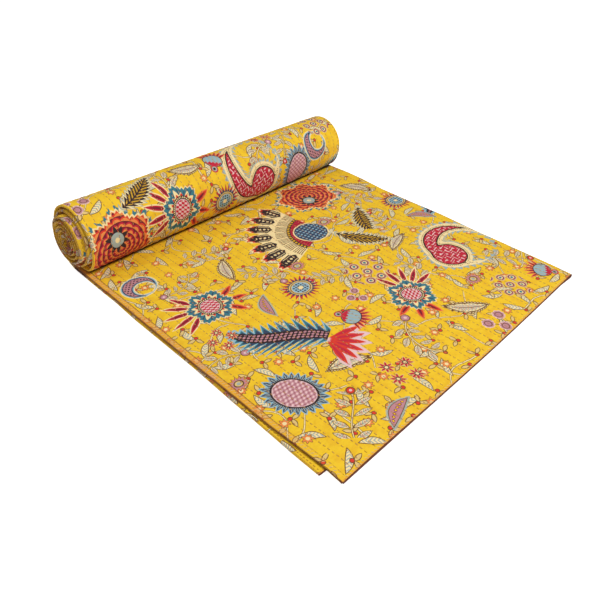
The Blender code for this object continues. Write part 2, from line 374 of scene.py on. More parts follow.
def stations():
    """Cross-sections, as (y, angle, v): close together where the cloth shows."""
    rounded = [EDGE_ROUND * part for part in ROUNDING]
    flat = [*rounded, *np.arange(EDGE_ROUND, TOP_FINE_TO, STEP), TOP_FINE_TO + 0.01, 0.69, FLAT_LENGTH]
    places = [(y, 0.0, y) for y in flat]
    angle = COARSE_TURN
    end = turns_in_roll() * math.tau
    while angle < end:
        places.append((FLAT_LENGTH, angle, float(cloth_length_to(angle))))
        fine = ROLL_FINE[0] <= angle < ROLL_FINE[1]
        angle += STEP / MEAN_RADIUS if fine else COARSE_TURN if angle < 3 * math.tau else INNER_TURN
    grow = (CLOTH_LENGTH - FLAT_LENGTH) / (places[-1][2] - FLAT_LENGTH)
    return [(y, a, v if a == 0.0 else FLAT_LENGTH + (v - FLAT_LENGTH) * grow) for y, a, v in places]


class Builder:
    """Collects the vertices and faces of the cloth, row by row."""

    def __init__(self):
        self.points, self.keys, self.lengths, self.sides = [], [], [], []
        self.count = 0
        self.faces = []

    def row(self, side, y, angle, v):
        """Vertices of one side of a cross-section: their keys and numbers."""
        keys, points = [], []
        for index in range(len(RUNS)):
            shares = FINE[index] if is_fine(index, side, y, angle) else COARSE[index, side]
            kept = shares if index == len(RUNS) - 1 else shares[:-1]
            keys.append(index + kept)
            points.append(run_points(index, side, kept, y, angle, v))
        keys = np.concatenate(keys)
        self.points += points
        self.keys.append(keys)
        self.lengths.append(np.full(len(keys), v))
        self.sides.append(np.full(len(keys), side))
        self.count += len(keys)
        return keys, np.arange(self.count - len(keys), self.count)

    def bridge(self, before, after, flip):
        """Faces between two rows, whose numbers of points may differ."""
        (near_keys, near_ids), (far_keys, far_ids) = before, after
        i = j = 0
        while i < len(near_ids) - 1 or j < len(far_ids) - 1:
            middle_near = near_keys[i] + near_keys[i + 1] if i < len(near_ids) - 1 else math.inf
            middle_far = far_keys[j] + far_keys[j + 1] if j < len(far_ids) - 1 else math.inf
            face = [near_ids[i]]
            step_far = middle_far <= middle_near + 1e-9
            if middle_near <= middle_far + 1e-9:
                i += 1
                face.append(near_ids[i])
            if step_far:
                face.append(far_ids[j + 1])
            face.append(far_ids[j])
            j += step_far
            self.faces.append([int(k) for k in (face[::-1] if flip else face)])


def cloth_mesh():
    builder = Builder()
    before = None
    for y, angle, v in stations():
        rows = [builder.row(side, y, angle, v) for side in (PRINTED, LINING)]
        if before is None:
            builder.bridge(rows[PRINTED], rows[LINING], True)
        else:
            for side in (PRINTED, LINING):
                builder.bridge(before[side], rows[side], side == LINING)
            for end, first, second in ((0, rows, before), (-1, before, rows)):
                corners = ((first, PRINTED), (first, LINING), (second, LINING), (second, PRINTED))
                builder.faces.append([int(row[side][1][end]) for row, side in corners])
        before = rows
    builder.bridge(before[PRINTED], before[LINING], False)
    return builder


def add_object(name, data):
    thing = bpy.data.objects.new(name, data)
    bpy.context.scene.collection.objects.link(thing)
    return thing


def add_map(mesh, name, places):
    mesh.uv_layers.new(name=name).data.foreach_set("uv", places.astype(np.float32).ravel())


def add_cloth(material):
    built = cloth_mesh()
    mesh = bpy.data.meshes.new("quilt_cloth")
    points = np.concatenate(built.points) - np.array(ORIGIN)
    mesh.from_pydata(points.tolist(), [], built.faces)
    keys, lengths, sides = (np.concatenate(part) for part in (built.keys, built.lengths, built.sides))
    corners = np.empty(len(mesh.loops), dtype=np.int64)
    mesh.loops.foreach_get("vertex_index", corners)
    add_map(mesh, "flat cloth", np.stack([RUN_STARTS[-1] - arc_at(keys), lengths], axis=1)[corners])
    add_bake_map(mesh, keys[corners], lengths[corners], sides[corners])
    mesh.validate()
    mesh.shade_smooth()
    mesh.materials.append(material)
    return add_object("quilt_cloth", mesh)


def add_bake_map(mesh, key, length, side):
    """A map without overlaps, with most of its room for the faces that show."""
    starts, totals = (np.empty(len(mesh.polygons), dtype=np.int64) for _ in range(2))
    mesh.polygons.foreach_get("loop_start", starts)
    mesh.polygons.foreach_get("loop_total", totals)
    middle = np.add.reduceat(key, starts) / totals
    furthest = np.maximum.reduceat(length, starts)
    printed = np.maximum.reduceat(side, starts) == PRINTED
    top_end = TOP_FINE_TO + 0.02
    roll_low, roll_high = (cloth_length_to(angle) + beyond for angle, beyond in zip(ROLL_FINE, (-0.03, 0.03)))
    top = printed & (middle > TOP_RUN) & (furthest < top_end)
    roll = printed & (middle > BOTTOM_RUN) & (middle < BOTTOM_RUN + 1)
    roll &= (np.minimum.reduceat(length, starts) > roll_low) & (furthest < roll_high)
    # the map's columns and rows, as (start, width): top and roll, and narrow ones for the two sides
    u = np.where(side == PRINTED, 0.895, 0.95) + 0.045 * key / len(RUNS)
    v = 0.01 + 0.98 * length / CLOTH_LENGTH
    for shown, run, row, along in (
        (top, TOP_RUN, (0.01, 0.60), length / top_end),
        (roll, BOTTOM_RUN, (0.62, 0.37), (length - roll_low) / (roll_high - roll_low)),
    ):
        shown = np.repeat(shown, totals)
        u = np.where(shown, 0.01 + 0.87 * (key - run), u)
        v = np.where(shown, row[0] + row[1] * along, v)
    add_map(mesh, "OFBake", np.stack([u, v], axis=1))


# ---- the sewing thread
def station_at(v):
    """y and angle of the section that carries the cloth at v."""
    if v <= FLAT_LENGTH:
        return v, 0.0
    full = cloth_length_to(turns_in_roll() * math.tau) - FLAT_LENGTH
    wound = (v - FLAT_LENGTH) * full / (CLOTH_LENGTH - FLAT_LENGTH)
    turned_back = math.sqrt(MEAN_RADIUS ** 2 - MEAN_PITCH * wound / math.pi)
    return FLAT_LENGTH, (MEAN_RADIUS - turned_back) / (MEAN_PITCH / math.tau)


def on_face(index, u, v, lifts):
    """Points above the printed face at a place of the flat cloth."""
    run = RUNS[index]
    y, angle = station_at(v)
    share = np.array([(RUN_STARTS[-1] - u - RUN_STARTS[index]) / run["length"]])
    x = mix(*run_ends(index, PRINTED, y, angle), share)
    raised = relief(np.array([u]), v) * (smooth(angle, *ROLL_GROWS) if index == BOTTOM_RUN else 1.0)
    face = height(run["level"], x, y, angle) - run["heading"] * (THICKNESS / 2 + raised)
    return [placed(x, face - run["heading"] * lift, run["level"], y, angle)[0] for lift in lifts]


def thread_rings(index, start, end):
    """Rings of points along one stitch, which dips into the cloth at both ends."""
    middles, tops = [], []
    for share, lift in THREAD["course"]:
        u, v = (mix(a, b, share) for a, b in zip(start, end))
        middle, top = on_face(index, u, v, (lift, lift + THREAD["half height"]))
        middles.append(middle)
        tops.append(top)
    rings = []
    for middle, top in zip(middles, tops):
        side = np.cross(middles[-1] - middles[0], top - middle)
        side *= THREAD["half width"] / np.linalg.norm(side)
        rings.append([2 * middle - top, middle + side, top, middle - side])
    return rings


def add_stitches(name, index, stitches, material):
    """One mesh of many stitches, each a short flat tube."""
    points, faces = [], []
    for start, end in stitches:
        rings = thread_rings(index, start, end)
        first = len(points)
        for ring in rings:
            points += [tuple(point - np.array(ORIGIN)) for point in ring]
        for step in range(len(rings) - 1):
            for side in range(4):
                a, b = first + 4 * step + side, first + 4 * step + (side + 1) % 4
                faces.append((a, b, b + 4, a + 4))
    mesh = bpy.data.meshes.new(name)
    mesh.from_pydata(points, [], faces)
    add_thread_maps(mesh, len(stitches))
    mesh.materials.append(material)
    mesh.shade_smooth()
    stitching = add_object(name, mesh)
    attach(stitching, "root")


def add_thread_maps(mesh, count):
    """Places along and around each stitch, and the same without overlaps, each stitch in a cell."""
    steps = len(THREAD["course"]) - 1
    face = np.arange(len(mesh.polygons))
    stitch, step, side = face // (4 * steps), face // 4 % steps, face % 4
    along = (step[:, None] + np.array([0, 0, 1, 1])) / steps
    around = (side[:, None] + np.array([0, 1, 1, 0])) / 4
    on_thread = np.stack([along, around], axis=-1)
    cells = math.ceil(math.sqrt(count))
    corner = np.stack([stitch % cells, stitch // cells], axis=-1)[:, None, :]
    add_map(mesh, "thread", on_thread)
    add_map(mesh, "OFBake", (corner + CELL_MARGIN + (1.0 - 2 * CELL_MARGIN) * on_thread) / cells)


def running_stitches(index, low_v, high_v):
    """Start and end of each stitch of the rows across one run."""
    low_u, high_u = u_span(index)
    stitches = []
    first = max(0, math.ceil((low_u + ROW_MARGIN - HEM_WIDTH) / ROW_PITCH))
    for row in range(first, int((high_u - ROW_MARGIN - HEM_WIDTH) / ROW_PITCH) + 1):
        phase = float(row_phase(row))
        for count in range(math.ceil(low_v / STITCH_PITCH + phase), int(high_v / STITCH_PITCH + phase)):
            u = HEM_WIDTH + row * ROW_PITCH + STRAYS * math.sin(0.9 * count + row)
            v = (count - phase) * STITCH_PITCH
            half = STITCH / 2 * (1.0 + VARIES * math.sin(5.1 * count + 2.3 * row))
            stitches.append(((u, v - half), (u, v + half)))
    return stitches


def hem_stitches():
    """Slanting stitches along the hem on top and along its front end."""
    at_v, at_u = (np.arange(*HEM_STITCH[name], HEM_STITCH["pitch"]) for name in ("along", "front"))
    along = [((HEM_WIDTH - 0.002, v), (0.003, v + HEM_STITCH["slant"])) for v in at_v]
    front = [((u, FRONT_HEM - 0.001), (u + 0.004, 0.0025)) for u in at_u]
    return along + front


def thread_material(name, ink):
    """Cotton thread, with its strands twisted round it."""
    material, shader = new_material(name)
    along, around = split(node_of("UVMap", uv_map="thread").outputs[0])
    strands = wave((along * TWISTS + around) * (2 * math.tau)) * 0.5 + 0.5
    bump = bumps(strands, 0.6, 0.0001)
    twisted = paint(INK[ink], INK["brown"], strands * 0.3)
    give(shader, {"Base Color": twisted, "Roughness": 0.7, "Normal": bump})
    return material


def add_threads():
    thread = thread_material("sewing thread", "thread")
    flat = running_stitches(TOP_RUN, FRONT_HEM + 0.006, TOP_FINE_TO - 0.01)
    rolled = running_stitches(BOTTOM_RUN, *[cloth_length_to(angle) for angle in ROLL_FINE])
    add_stitches("stitches_flat", TOP_RUN, flat, thread)
    add_stitches("stitches_roll", BOTTOM_RUN, rolled, thread)
    add_stitches("stitches_hem", TOP_RUN, hem_stitches(), thread_material("hem thread", "cream"))


# ---- camera, floor and light
def add_camera():
    """The photograph's viewpoint, fitted to the packet's edges and its roll."""
    yaw, pitch, roll = 0.8207, 0.6253, 0.0126
    stands = Vector((-0.6521, -0.4837, 1.0176)) * PACKET_WIDTH - ORIGIN
    ahead = Vector((math.sin(yaw) * math.cos(pitch), math.cos(yaw) * math.cos(pitch), -math.sin(pitch)))
    level = Vector((math.cos(yaw), -math.sin(yaw), 0.0))
    upright = level.cross(ahead)
    right = math.cos(roll) * level + math.sin(roll) * upright
    up = math.cos(roll) * upright - math.sin(roll) * level
    camera = add_object("camera", bpy.data.cameras.new("camera"))
    camera.matrix_world = Matrix.Translation(stands) @ Matrix((right, up, -ahead)).transposed().to_4x4()
    camera.data.lens = 39.106
    camera.data.sensor_width = 36.0
    camera.data.clip_start = 0.01
    bpy.context.scene.camera = camera


def add_light(name, place, size, watts):
    """A round soft light that faces the quilt."""
    data = bpy.data.lights.new(name, "AREA")
    data.shape = "DISK"
    data.size = size
    data.energy = watts
    light = add_object(name, data)
    light.location = place
    light.rotation_euler = (-Vector(place)).to_track_quat("-Z", "Y").to_euler()


def add_studio():
    world = bpy.data.worlds.new("studio")
    world.use_nodes = True
    give(world.node_tree.nodes["Background"], {"Color": (1.0, 0.99, 0.97, 1.0), "Strength": 0.24})
    bpy.context.scene.world = world
    bpy.context.scene.view_settings.view_transform = "Standard"
    add_light("key", (0.2, -1.4, 2.4), 1.0, 54.0)
    add_light("fill", (-0.9, 0.9, 2.0), 1.6, 13.0)

    mesh = bpy.data.meshes.new("floor")
    half = 6.0
    corners = [(-half, -half, 0), (half, -half, 0), (half, half, 0), (-half, half, 0)]
    mesh.from_pydata(corners, [], [(0, 1, 2, 3)])
    material, shader = new_material("pale floor")
    give(shader, {"Base Color": (0.60, 0.60, 0.60, 1.0), "Roughness": 0.8})
    give(shader, {"Emission Color": (1.0, 1.0, 1.0, 1.0), "Emission Strength": 0.85})
    mesh.materials.append(material)
    plane = add_object("floor", mesh)
    plane.location.z = -0.0005


# ---- the print, drawn by the material's nodes
def colour(red, green, blue):
    """A colour as it is seen, 0 to 255, as linear values for the nodes."""
    return tuple(((c / 255 + 0.055) / 1.055) ** 2.4 for c in (red, green, blue)) + (1.0,)


INK = {
    "yellow": (238, 194, 28), "deep yellow": (230, 178, 22), "cream": (240, 216, 158),
    "beige": (222, 190, 118), "brown": (104, 66, 30), "black": (44, 26, 28), "crimson": (192, 24, 52),
    "scarlet": (214, 52, 32), "maroon": (116, 14, 34), "orange": (232, 134, 62), "teal": (50, 116, 130),
    "navy": (46, 62, 88), "sky": (140, 178, 194), "grey": (160, 170, 162), "mauve": (188, 130, 138),
    # the rim inks: the edges' own red-brown, darkened further as painted shade
    "pink": (228, 190, 190), "hem": (226, 148, 50), "rim": (104, 48, 20), "front rim and shade": (82, 24, 16),
    # painted shade at each stitch, where the thread pulls the cloth in, comes next; then the sewing thread's
    # own colour
    "dimple shade": (150, 92, 20), "thread": (214, 160, 92),
}
INK = {name: colour(*seen) for name, seen in INK.items()}


def operator(operation):
    return lambda self, other: maths(operation, self, other)


class Field:
    """A number at every point of the cloth, worked out by nodes of the tree in hand."""

    tree = None
    __add__ = __radd__ = operator("ADD")
    __sub__ = operator("SUBTRACT")
    __mul__ = __rmul__ = __and__ = operator("MULTIPLY")
    __truediv__ = operator("DIVIDE")
    __lt__ = operator("LESS_THAN")
    __gt__ = operator("GREATER_THAN")
    __or__ = operator("MAXIMUM")

    def __init__(self, socket):
        self.socket = socket

    def __rsub__(self, other):
        return maths("SUBTRACT", other, self)

    def __abs__(self):
        return maths("ABSOLUTE", self)


def new_material(name):
    """A material, whose tree takes the nodes that follow, and its shader."""
    material = bpy.data.materials.new(name)
    material.use_nodes = True
    Field.tree = material.node_tree
    return material, material.node_tree.nodes["Principled BSDF"]


def node_of(kind, **settings):
    node = Field.tree.nodes.new("ShaderNode" + kind)
    for name, value in settings.items():
        setattr(node, name, value)
    return node


def feed(socket, value):
    if isinstance(value, Field):
        value = value.socket
    if isinstance(value, bpy.types.NodeSocket):
        Field.tree.links.new(value, socket)
    else:
        socket.default_value = value


def give(node, values):
    """Feed several sockets of a node, each by its name or number."""
    for name, value in values.items():
        feed(node.inputs[name], value)


def split(place):
    parts = node_of("SeparateXYZ")
    feed(parts.inputs[0], place)
    return [Field(socket) for socket in parts.outputs[:2]]


def maths(operation, *values):
    node = node_of("Math", operation=operation)
    give(node, dict(enumerate(values)))
    return Field(node.outputs[0])


def near(value, middle, reach):
    return maths("COMPARE", value, middle, reach)


def zigzag(value, period, size=1.0):
    """0 at whole periods, rising to size half-way between them."""
    return maths("PINGPONG", value, period / 2) * (2.0 * size / period)


def star(angle, count, size=1.0):
    """As zigzag, so many times round."""
    return zigzag(angle, math.tau / count, size)


def cell(value, pitch):
    """Distance from the middle of the cell of this pitch that a point lies in."""
    return maths("WRAP", value, pitch / 2, -pitch / 2)


def length(x, y):
    return maths("SQRT", maths("MULTIPLY_ADD", x, x, y * y))


def bearing(x, y):
    """Angle from straight up, clockwise."""
    return maths("ARCTAN2", x, y)


def wave(value):
    return maths("SINE", value)


def ramp(value, low, high):
    node = node_of("MapRange", interpolation_type="SMOOTHSTEP")
    give(node, {"Value": value, "From Min": low, "From Max": high})
    return Field(node.outputs["Result"])


def chance(value):
    """A random number, 0 to 1, for each whole number."""
    node = node_of("TexWhiteNoise", noise_dimensions="1D")
    feed(node.inputs["W"], value)
    return Field(node.outputs["Value"])


def paint(base, ink, mask):
    """The base colour with an ink over it wherever the mask is 1."""
    node = node_of("Mix", data_type="RGBA")
    give(node, {0: mask, 6: base, 7: ink})
    return node.outputs[2]


def painted(base, coats):
    """Coats of (ink, mask), one over another."""
    for ink, mask in coats:
        base = paint(base, INK[ink], mask)
    return base


def turned(u, v, middle, size, angle):
    """x and y of a motif's own coordinates: its size is 1 and its way up is y."""
    along, across = math.cos(angle) / size, math.sin(angle) / size
    x = maths("MULTIPLY_ADD", v, -across, middle[1] * across - middle[0] * along)
    y = maths("MULTIPLY_ADD", v, along, -middle[1] * along - middle[0] * across)
    return maths("MULTIPLY_ADD", u, along, x), maths("MULTIPLY_ADD", u, across, y)


def either(choice, value, other):
    node = node_of("Mix", data_type="FLOAT")
    give(node, {0: choice, 2: value, 3: other})
    return Field(node.outputs[0])


def nearest(u, v, rows):
    """x and y in the coordinates of whichever of these motifs is nearest."""
    best = None
    for across, along, size, angle in rows:
        x, y = turned(u, v, (across, along), size, math.radians(angle))
        if len(rows) == 1:
            return x, y
        reach = maths("MULTIPLY_ADD", x, x, y * y)
        if best is None:
            best = x, y, reach
            continue
        closer = reach < best[2]
        best = either(closer, best[0], x), either(closer, best[1], y), maths("MINIMUM", best[2], reach)
    return best[:2]


def scattered(u, v, spacing, size, seed):
    """x and y about one point in each cell of a grid, turned at random, and a random number."""
    u, v = u / spacing, v / spacing
    number = maths("FLOOR", u) * 1.37 + maths("FLOOR", v) * 7.91 + seed
    first, second = chance(number), chance(number + 0.5)
    x = maths("FRACT", u) - 0.3 - first * 0.4
    y = maths("FRACT", v) - 0.3 - second * 0.4
    angle = (first + second) * math.tau * 3
    cosine, sine = maths("COSINE", angle) * (spacing / size), wave(angle) * (spacing / size)
    return x * cosine - y * sine, x * sine + y * cosine, maths("FRACT", first * 7.0 + second)


def petal(x, y, bottom, top, width):
    """How far inside a pointed petal along y a point lies: over 0 is inside."""
    along = (y - bottom) / (top - bottom)
    return maths("MULTIPLY", along, 1.0 - along) * (4.0 * width) - abs(x)


# Each motif below is drawn in its own coordinates, in which it is about 1 in radius.  It gives its
# coats of paint one by one, each as an ink and a mask, which is 1 where the ink lies.
def fan(x, y, spread, count, reach, inks, width=0.10):
    """Pointed petals that spread from one point, upwards."""
    step = 2 * spread / count
    angle = bearing(x, y)
    away = length(x, y)
    side = cell(angle + (step / 2 if count % 2 == 0 else 0.0), step) * away
    shape = petal(side, away, reach[0], reach[1], width) - (abs(angle) > spread)
    outline, body, core = inks
    yield outline, shape > -0.05
    yield body, shape > 0.0
    yield core, shape > width * 0.55


def hatched_leaf(forward, across, end, width, stripes):
    """A pale leaf with a brown outline, a midrib and slanting veins of two colours."""
    shape = petal(across, forward, 0.0, end, width)
    veins = wave((forward - abs(across) * 0.8) * stripes)
    edge_at = width * 0.12
    yield "brown", shape > -width * 0.10
    yield "cream", shape > edge_at
    yield "grey", (veins > 0.45) & (shape > edge_at * 1.8)
    yield "mauve", (veins < -0.62) & (shape > edge_at * 3.5)
    yield "brown", near(across, 0.0, width * 0.055) & (shape > 0.0)


def thistle(x, y):
    """A round flower: lattice middle, beaded rim, petals, toothed halo and red crests."""
    yield from fan(x, y - 0.25, math.radians(62), 5, (0.40, 1.60), ("cream", "crimson", "maroon"), 0.10)
    yield from fan(x, -0.30 - y, math.radians(64), 3, (0.35, 1.25), ("orange", "scarlet", "maroon"), 0.11)
    away = length(x * 0.92, y)
    angle = bearing(x, y)
    lobes = maths("COSINE", angle * 6.0) * 0.09
    teeth = star(angle, 30, 0.10) + lobes + 0.80
    points = star(angle, 15)
    lattice = zigzag(x + y * 0.6, 0.17) + zigzag(x - y * 0.6, 0.17)
    yield "cream", away < teeth + 0.05
    yield "teal", away < teeth
    yield "navy", (away < teeth - 0.06) & (star(angle, 30) < 0.3)
    yield "cream", away < points * 0.22 + lobes + 0.50
    yield "scarlet", (away < points * 0.15 + 0.46) & (points > 0.5)
    yield "black", away < 0.51
    yield "cream", near(away, 0.448, 0.026) & (star(angle, 34) > 0.45)
    yield "pink", away < 0.385
    yield "crimson", (lattice > 0.95) & (away < 0.36)


def paisley(x, y):
    """A curled drop: sprigged red, outlined in black and cream, with a soft toothed fringe."""
    drop = length(x - 0.10, y + 0.50) - 0.42
    horn = (length(x - 0.30, y) - 0.80) | (0.80 - length(x - 0.62, y + 0.04))
    shape = maths("SMOOTH_MIN", drop, horn, 0.10)
    angle = bearing(x - 0.15, y + 0.1)
    teeth = star(angle + shape * 0.4, 34)
    rising = zigzag(x * 1.2 + y * 0.7 + zigzag(y, 0.23, 0.16), 0.17)
    sprig = rising + zigzag(y * 1.1 - x * 0.8 + zigzag(x, 0.19, 0.14), 0.15)
    yield "grey", shape < teeth * 0.11 + 0.13
    yield "sky", (shape < teeth * 0.10 + 0.10) & (wave(angle * 70.0) > 0.2)
    yield "cream", shape < 0.135
    yield "brown", near(shape, 0.055, 0.009) & (star(angle, 110) > 0.5)
    yield "black", shape < 0.022
    yield "crimson", shape < -0.014
    yield "pink", (sprig > 1.34) & (shape < -0.035)
    yield "maroon", (sprig < 0.30) & (shape < -0.035)


def carnation(x, y):
    """A flower seen from its side: scaled cup, banded throat and notched petals."""
    y = y + 0.85
    away = length(x, y)
    angle = bearing(x, y)
    spread = math.radians(52)
    step = 2 * spread / 7
    side = cell(angle, step)
    off = abs(side)
    inside = abs(angle) < spread
    blade = (off < step / 2 - 0.010 - ramp(away, 0.7, 1.8) * 0.030) & inside
    tips = 1.66 - off * off * 22.0 + zigzag(off, 0.055, 0.07)
    dots = length(cell(away, 0.10), side * away)
    stripe = wave(side * 130.0) > 0.25
    throat = (away < 0.80) & inside
    cup = length(x * 1.05, y - 0.26)
    scale = zigzag(x + y, 0.12) + zigzag(x - y, 0.12)
    yield "cream", inside & (away < tips + 0.05)
    yield "scarlet", blade & (away < tips)
    yield "black", blade & (away < tips - 0.05) & (away > off * 0.9 + 1.12)
    yield "cream", blade & (dots < 0.030) & near(away, 1.35, 0.15)
    yield "cream", blade & near(off, 0.072, 0.006) & near(away, 1.33, 0.13)
    yield "cream", blade & (away < 1.12 + off * 0.9)
    yield "brown", blade & stripe & (away < 1.06) & (away > 0.8)
    yield "black", throat
    yield "deep yellow", near(away, 0.76, 0.026) & inside & (zigzag(angle, math.radians(6)) > 0.5)
    yield "crimson", (away < 0.71) & inside
    yield "maroon", (away < 0.70) & inside & (wave(angle * 62.0) > 0.5)
    yield "cream", cup < 0.40
    yield "navy", cup < 0.37
    yield "sky", (cup < 0.35) & (scale > 1.30)


def plume(x, y):
    """A bent feathery leaf with a dark beaded spine and a red tassel of petals."""
    inks = ("pink", "scarlet", "crimson")
    yield from fan(y - 0.10, x - 0.60, math.radians(54), 6, (0.05, 0.60), inks, 0.055)
    bent = y - wave(x * 2.4) * 0.20
    body = 0.125 - x * x * 0.12
    away = abs(bent)
    blades = zigzag(x + away * 0.8, 0.125, 0.30) * ramp(abs(x), 1.0, 0.1)
    inside = near(x, -0.12, 0.74)
    bead = length(cell(x, 0.064), cell(bent, 0.058))
    yield "sky", (away < body + blades + 0.035) & inside
    yield "teal", (away < body + blades - 0.02) & inside
    yield "navy", (away < body + blades * 0.6 - 0.03) & inside
    yield "black", (away < body) & inside
    yield "mauve", (away < body - 0.03) & (bead < 0.022) & inside


def aster(x, y):
    """Rings of seeds and thin petals, seen half from above."""
    away = length(x, y * 1.12)
    rays = star(bearing(x, y), 22)
    seed = length(cell(x, 0.15), cell(y, 0.15)) < 0.05
    yield "crimson", away < rays * 0.44 + 0.58
    yield "navy", away < rays * 0.16 + 0.60
    yield "beige", away < 0.58
    yield "brown", near(away, 0.50, 0.02)
    yield "sky", away < 0.44
    yield "black", seed & (away < 0.40)
    yield "cream", away < 0.13


def artichoke(x, y):
    """An oval head of small scales in a spiny dark ruff."""
    away = length(x * 0.78, y)
    angle = bearing(x, y)
    spines = star(angle, 24)
    scale = zigzag(x + y * 0.7, 0.19) + zigzag(x - y * 0.7, 0.19)
    yield "sky", away < spines * 0.20 + 0.80
    yield "navy", away < spines * 0.24 + 0.70
    yield "grey", (away < spines * 0.2 + 0.68) & (wave(angle * 72.0) > 0.1)
    yield "black", away < 0.68
    yield "pink", away < 0.62
    yield "mauve", (away < 0.60) & (scale < 1.25)
    yield "maroon", (away < 0.60) & (scale < 0.30)


def cone(x, y):
    """A long seed head of dark and yellow scales with a pale spiky outline."""
    bent = x - y * y * 0.14
    off = abs(bent)
    shape = petal(bent, y, -0.95, 1.05, 0.27)
    teeth = zigzag(y + off * 0.9, 0.20, 0.16)
    scale = zigzag(y + off * 1.3, 0.20)
    yield "grey", shape + teeth > -0.10
    yield "cream", shape + teeth > -0.05
    yield "black", shape + teeth > 0.02
    yield "deep yellow", (shape > 0.02) & (scale > 0.55) & (off > 0.03)
    yield "brown", (shape > 0.02) & near(scale, 0.80, 0.07)


def peony(x, y):
    """A broad flower of small orange and red scales, with a grey heart."""
    away = length(x * 0.9, y)
    angle = bearing(x, y)
    border = maths("COSINE", angle * 7.0) * 0.08 + star(angle, 42, 0.07) + 0.80
    rows = away / 0.13
    off = abs(cell(angle * (17 / math.tau) + maths("FLOOR", rows) * 0.5, 1.0)) * 2.0
    scale = maths("FRACT", rows) - (1.0 - off * off) * 0.5
    heart = length(x, y + 0.28)
    rays = star(bearing(x, y + 0.28), 10, 0.16)
    yield "teal", (away < border + 0.12) & (wave(angle * 26.0) > 0.1)
    yield "cream", away < border + 0.03
    yield "orange", away < border - 0.02
    yield "scarlet", (away < border - 0.04) & (scale > 0.02)
    yield "crimson", (away < 0.66) & (scale > 0.02)
    yield "maroon", (away < border - 0.04) & (scale > 0.34)
    yield "black", heart < rays + 0.20
    yield "grey", heart < 0.19
    yield "cream", heart < 0.07


def half_moon(x, y):
    """A small curled leaf with dots and a pale blue edge."""
    shape = (length(x, y) - 0.86) | (0.66 - length(x - 0.32, y + 0.12))
    seed = length(cell(x, 0.17), cell(y, 0.17)) < 0.05
    yield "cream", shape < 0.15
    yield "sky", shape < 0.09
    yield "navy", shape < 0.03
    yield "mauve", shape < -0.04
    yield "black", seed & (shape < -0.06)


def bell(x, y):
    """A grey-blue bell with a red fringe and a round bud above it."""
    yield from fan(x, 0.15 - y, math.radians(56), 7, (0.3, 1.15), ("orange", "crimson", "maroon"), 0.07)
    cup = length(x * 0.9, y - 0.02)
    bud = length(x, y - 0.72)
    yield "black", cup < 0.56
    yield "grey", cup < 0.51
    yield "sky", (cup < 0.50) & (wave(x * 26.0) > 0.4)
    yield "crimson", (cup < 0.50) & (y > zigzag(x, 0.22, 0.14) + 0.16)
    yield "crimson", bud < 0.24
    yield "grey", bud < 0.16
    yield "black", bud < 0.08


def daisies(x, y):
    """Four small red daisies."""
    x, y = abs(x) - 0.46, abs(y + x * 0.15) - 0.42
    away = length(x, y)
    rays = star(bearing(x, y), 8)
    yield "beige", away < rays * 0.22 + 0.19
    yield "crimson", away < rays * 0.24 + 0.12
    yield "cream", away < 0.13
    yield "black", near(away, 0.10, 0.024)


def rings(x, y):
    """A loose cluster of open rings."""
    row = maths("FLOOR", y / 0.58 + 0.5)
    over = maths("MODULO", abs(row), 2.0) * 0.29
    away = length(cell(x + over, 0.58), cell(y, 0.58)) + (length(x, y) > 0.95)
    yield "beige", away < 0.25
    yield "mauve", away < 0.21
    yield "maroon", near(away, 0.15, 0.022)
    yield "cream", away < 0.12
    yield "teal", away < 0.07


def pompoms(x, y):
    """Three mauve pompoms on thin stalks."""
    stalk = near(abs(x) - y * 0.55, 0.28, 0.03) & near(y, -0.35, 0.5)
    away = maths("MINIMUM", length(abs(x) - 0.52, y - 0.30), length(x, y + 0.42))
    frill = star(bearing(abs(x) - 0.52, y), 16, 0.06)
    yield "brown", stalk
    yield "pink", away < frill + 0.31
    yield "mauve", away < frill + 0.26
    yield "brown", near(away, 0.19, 0.024)


def sunflower(x, y):
    """A small orange flower with a ringed eye."""
    away = length(x, y * 1.15)
    rays = star(bearing(x, y), 13)
    yield "brown", away < rays * 0.34 + 0.66
    yield "orange", away < rays * 0.32 + 0.58
    yield "mauve", (away < rays * 0.3 + 0.5) & (away > 0.46)
    yield "beige", away < 0.46
    yield "brown", near(away, 0.40, 0.06)
    yield "grey", away < 0.20


def pod(x, y):
    """A mauve pod with a row of seeds and a soft pale edge."""
    bent = x - y * y * 0.25
    shape = petal(bent, y, -1.0, 1.0, 0.30)
    fringe = zigzag(y + abs(bent) * 0.6, 0.13, 0.09)
    seed = length(cell(y, 0.22), bent)
    yield "grey", shape + fringe > -0.07
    yield "brown", shape > -0.02
    yield "mauve", shape > 0.02
    yield "maroon", (seed < 0.085) & (shape > 0.1)
    yield "yellow", (seed < 0.05) & (shape > 0.1)


def leaf(x, y):
    """One broad hatched leaf with a soft toothed edge."""
    across = x - y * y * 0.16
    shape = petal(across, y + 1.0, 0.0, 2.0, 0.34) + zigzag(y + abs(across) * 0.7, 0.16, 0.06)
    yield "brown", shape > -0.03
    yield "cream", shape > 0.015
    yield from hatched_leaf(y + 0.95, across, 1.9, 0.30, 42.0)


def spray(x, y):
    """A curved stem with pairs of pale veined leaves and a flower bud at its tip."""
    away = length(x - 1.0, y) - 1.0
    along = bearing(1.0 - x, y) - math.pi / 2
    step = cell(along, 0.34)
    off = abs(away) + (abs(along) > 0.85)
    yield from hatched_leaf(step * 0.60 + off * 0.80, step * 0.80 - off * 0.60 + 0.08, 0.42, 0.088, 70.0)
    yield "brown", off < 0.030
    yield "cream", off < 0.014
    bud = length(x - 0.33, y - 0.82)
    yield "brown", bud < 0.15
    yield "mauve", bud < 0.12
    yield "pink", bud < 0.05


